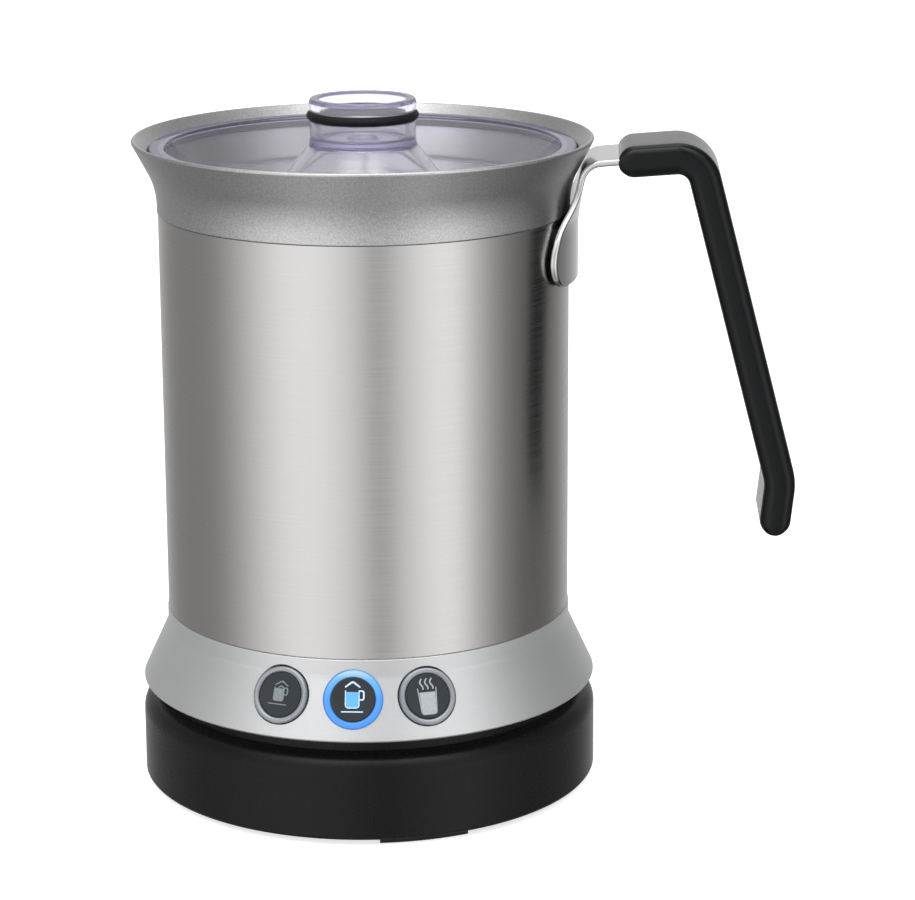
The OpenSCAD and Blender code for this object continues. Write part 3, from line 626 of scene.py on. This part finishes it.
# Half its thickness, half its width, and how far and below which height its rim is drawn in
GRIP_HALF, GRIP_W, FOOT_ROUND, FOOT_Z = 4.2, 13.5, 4.0, 80


def strap_width(z):
    """Half the strap's width at the height z."""
    if z < TONGUE_FULL:
        rise = (TONGUE_FULL - z) / TONGUE_CORNER
        return TONGUE_HALF_W - TONGUE_CORNER * (1 - math.sqrt(1 - rise ** 2))
    t = min(1, (z - TONGUE_FULL) / NARROWING)
    return NECK_HALF_W + (TONGUE_HALF_W - NECK_HALF_W) * (1 + math.cos(math.pi * t)) / 2


def strap_round(z):
    """How far the strap follows the sleeve's round: 1 on the tongue, 0 where it is flat."""
    t = min(1, max(0, (z - ROUND_TO) / (FLAT_FROM - ROUND_TO)))
    return (1 + math.cos(math.pi * t)) / 2


def grip_width(z, t):
    """Half the grip's width: full along it, and drawn in round the foot's rim, where the half thickness t
    falls."""
    if z >= FOOT_Z:
        return GRIP_W
    return GRIP_W - FOOT_ROUND * (1 - math.sqrt(1 - (1 - t / GRIP_HALF) ** 2))


def with_ends(points, half, n):
    """Rings' centres and half thicknesses along a line, with its ends rounded off over half the thickness."""
    points = [Vector(p) for p in points]
    turn = [math.pi / 2 * i / n for i in range(1, n + 1)]

    def end(tip, inner, angles):
        inward = (inner - tip).normalized()
        return [(tip + inward * half * (1 - math.cos(a)), half * math.sin(a)) for a in angles]

    return (end(points[0], points[1], turn) + [(p, half) for p in points[1:-1]]
            + end(points[-1], points[-2], reversed(turn)))


def directions(rings):
    """The line's direction at each ring, from its neighbours."""
    last = len(rings) - 1
    return [(rings[min(i + 1, last)][0] - rings[max(i - 1, 0)][0]).normalized() for i in range(last + 1)]


def section(w, t, r, across, n):
    """A rounded rectangle of half sizes w and t as (across, through), with extra points on its long faces."""
    long = [(w - r) * (1 - 2 * i / across) for i in range(1, across)]
    return ([(x, t) for x in long] + arc(r - w, t - r, r, 90, 180, n) + arc(r - w, r - t, r, 180, 270, n)
            + [(-x, -t) for x in long] + arc(w - r, r - t, r, 270, 360, n) + arc(w - r, t - r, r, 0, 90, n))


rise = [math.pi / 2 * i / 10 for i in range(11)]
strap_line = ([(STRAP_MID, TONGUE_LOW + (TONGUE_FULL - TONGUE_LOW) * (1 - math.cos(a))) for a in rise]
              + [(STRAP_MID, 148.5), (STRAP_MID, 150.5)]
              + bend(STRAP_FOOT, STRAP_LEAN, STRAP_KINK, 30, 10)
              + [between(STRAP_LEAN, STRAP_KINK, t) for t in (0.3, 0.45, 0.6)]
              + bend(STRAP_LEAN, STRAP_KINK, STRAP_END, 5.5, 14) + [STRAP_END])
rings = with_ends(strap_line, STRAP_T / 2, 4)
bm = bmesh.new()
swept(bm, [
    [(p.x + q * d.y - strap_round(p.y) * (STRAP_OUT - math.sqrt(STRAP_OUT ** 2 - y * y)), y, p.y - q * d.x)
     for y, q in section(strap_width(p.y), t, min(0.6, t * 0.9), 16, 4)]
    for (p, t), d in zip(rings, directions(rings))])
piece(bm, "Handle_Strap", "jug", M["strap"], "polished_steel", replaces=["handle_strap"])

grip_line = ([GRIP_START] + bend(GRIP_START, GRIP_TOP, GRIP_FOOT, 7.5, 20)
             + bend(GRIP_TOP, GRIP_FOOT, GRIP_END, 14, 12) + [GRIP_END])
rings = with_ends(grip_line, GRIP_HALF, 9)
bm = bmesh.new()
swept(bm, [
    [(p.x - q * d.y, y, p.y + q * d.x) for y, q in section(grip_width(p.y, t), t, min(3, t * 0.95), 4, 7)]
    for (p, t), d in zip(rings, directions(rings))])
piece(bm, "Handle_Grip", "jug", M["grip"], "grip_plastic", replaces=["handle_grip"])

# ---- Whisk's spring ----

# A wire wound round a ring: the ring's radius and height, the winding's radius, the wire's, and the turns
COIL_RING, COIL_Z, COIL_HALF, WIRE, TURNS = 17.2, 70.4, 1.5, 0.4, 64
TURN_STEPS, WIRE_SIDES = 14, 7
round_wire = [2 * math.pi * k / WIRE_SIDES for k in range(WIRE_SIDES)]
bm = bmesh.new()
rings = []
for i in range(TURNS * TURN_STEPS):
    big, small = 2 * math.pi * i / (TURNS * TURN_STEPS), 2 * math.pi * i / TURN_STEPS
    out, side = Vector((math.cos(big), math.sin(big), 0)), Vector((-math.sin(big), math.cos(big), 0))
    spoke = out * math.cos(small) + Vector((0, 0, math.sin(small)))
    centre = out * COIL_RING + spoke * COIL_HALF + Vector((0, 0, COIL_Z))
    wire = [centre + (spoke * math.cos(a) + side * math.sin(a)) * WIRE for a in round_wire]
    rings.append([bm.verts.new(p * MM) for p in wire])
skin(bm, rings, closed=True)
piece(bm, "Whisk_Spring", "whisk", M["steel"], "bare_steel", replaces=["whisk_coil"], sharp=80)

# ---- Floor ----

FLOOR_R = 6
bm = bmesh.new()
bmesh.ops.create_circle(bm, cap_ends=True, segments=96, radius=FLOOR_R)
floor_mesh = bpy.data.meshes.new("floor")
bm.to_mesh(floor_mesh)
bm.free()
floor_mesh.materials.append(speckled("floor_paint", (0.80, 0.80, 0.80), 0.8, 0.95, 30, 0.01, spread=0.01,
                                     Emission_Color=(1, 1, 1, 1), Emission_Strength=0.7))
floor = bpy.data.objects.new("floor", floor_mesh)
bpy.context.scene.collection.objects.link(floor)
floor.visible_glossy = False

# ---- Light ----

# The studio seen in reflections: (azimuth, brightness), in degrees from the front towards the handle's side
STUDIO = [(-180, 0.9), (-150, 0.45), (-132, 0.30), (-94, 0.31), (-74, 0.55), (-52, 1.24), (-36, 1.48),
          (-16, 1.40), (2, 0.92), (11, 0.45), (22, 0.92), (40, 1.42), (55, 1.56), (66, 0.95), (82, 0.42),
          (100, 0.18), (128, 0.16), (150, 0.4), (180, 0.9)]
# The same by height, as the sine of the elevation: (sine, factor)
HEIGHTS = [(-1.0, 0.36), (-0.8, 0.42), (-0.5, 0.72), (-0.25, 1.0), (0.3, 0.92), (0.6, 0.74), (0.85, 2.1),
           (1.0, 3.6)]
# A ramp's colours stop at 1, so both hold their levels divided by this, and the strength makes up for it.
SCALE_DOWN = 4


def levels(nt, field, low, high, stops):
    """The brightness of each stop, scaled down, as a smooth ramp over the field from low to high."""
    greys = [((x - low) / (high - low), (level / SCALE_DOWN,) * 3) for x, level in stops]
    return ramp_over(nt, field, greys, "B_SPLINE")


world = bpy.data.worlds.new("studio")
bpy.context.scene.world = world
world.use_nodes = True
nt = world.node_tree
nt.nodes.clear()
ray = axes(nt, "Generated")
azimuth = fitted(nt, maths(nt, "ARCTAN2", ray["X"], maths(nt, "MULTIPLY", ray["Y"], -1)), -math.pi, math.pi)
seen, plain = nt.nodes.new("ShaderNodeBackground"), nt.nodes.new("ShaderNodeBackground")
nt.links.new(levels(nt, azimuth, -180, 180, STUDIO), seen.inputs["Color"])
by_height = levels(nt, fitted(nt, ray["Z"], -1, 1), -1, 1, HEIGHTS)
nt.links.new(maths(nt, "MULTIPLY", by_height, SCALE_DOWN ** 2), seen.inputs["Strength"])
plain.inputs["Color"].default_value = (1, 1, 1, 1)
path, mix, out = (nt.nodes.new(f"ShaderNode{kind}") for kind in ("LightPath", "MixShader", "OutputWorld"))
nt.links.new(path.outputs["Is Glossy Ray"], mix.inputs[0])
nt.links.new(plain.outputs[0], mix.inputs[1])
nt.links.new(seen.outputs[0], mix.inputs[2])
nt.links.new(mix.outputs[0], out.inputs["Surface"])

KEY_SIZE, KEY_POWER, KEY_AT, KEY_AIM = 1.2, 6, (-0.5, -0.7, 1.3), (0, 0, 0.09)
key = bpy.data.objects.new("key", bpy.data.lights.new("key", "AREA"))
key.data.size, key.data.energy = KEY_SIZE, KEY_POWER
key.location = KEY_AT
key.rotation_mode = "QUATERNION"
key.rotation_quaternion = (Vector(KEY_AIM) - key.location).to_track_quat("-Z", "Y")
key.visible_glossy = False
bpy.context.scene.collection.objects.link(key)

# ---- Camera ----

# Where it stands in metres, and its turn round the upright, its tilt from straight down and its roll in degrees
CAMERA_AT, CAMERA_TURN, CAMERA_TILT, CAMERA_ROLL = (0.0621, -0.8200, 0.3069), 2.6, 75.27, -0.252
LENS, SENSOR = 122.2, 36
camera = bpy.data.objects.new("camera", bpy.data.cameras.new("camera"))
camera.data.lens, camera.data.sensor_width, camera.data.sensor_fit = LENS, SENSOR, "HORIZONTAL"
camera.data.clip_start, camera.data.clip_end = 0.05, 20
camera.matrix_world = Matrix.Translation(CAMERA_AT)
for angle, axis in ((CAMERA_TURN, "Z"), (CAMERA_TILT, "X"), (CAMERA_ROLL, "Z")):
    camera.matrix_world = camera.matrix_world @ Matrix.Rotation(math.radians(angle), 4, axis)
bpy.context.scene.collection.objects.link(camera)
bpy.context.scene.camera = camera
bpy.context.scene.view_settings.view_transform = "Standard"
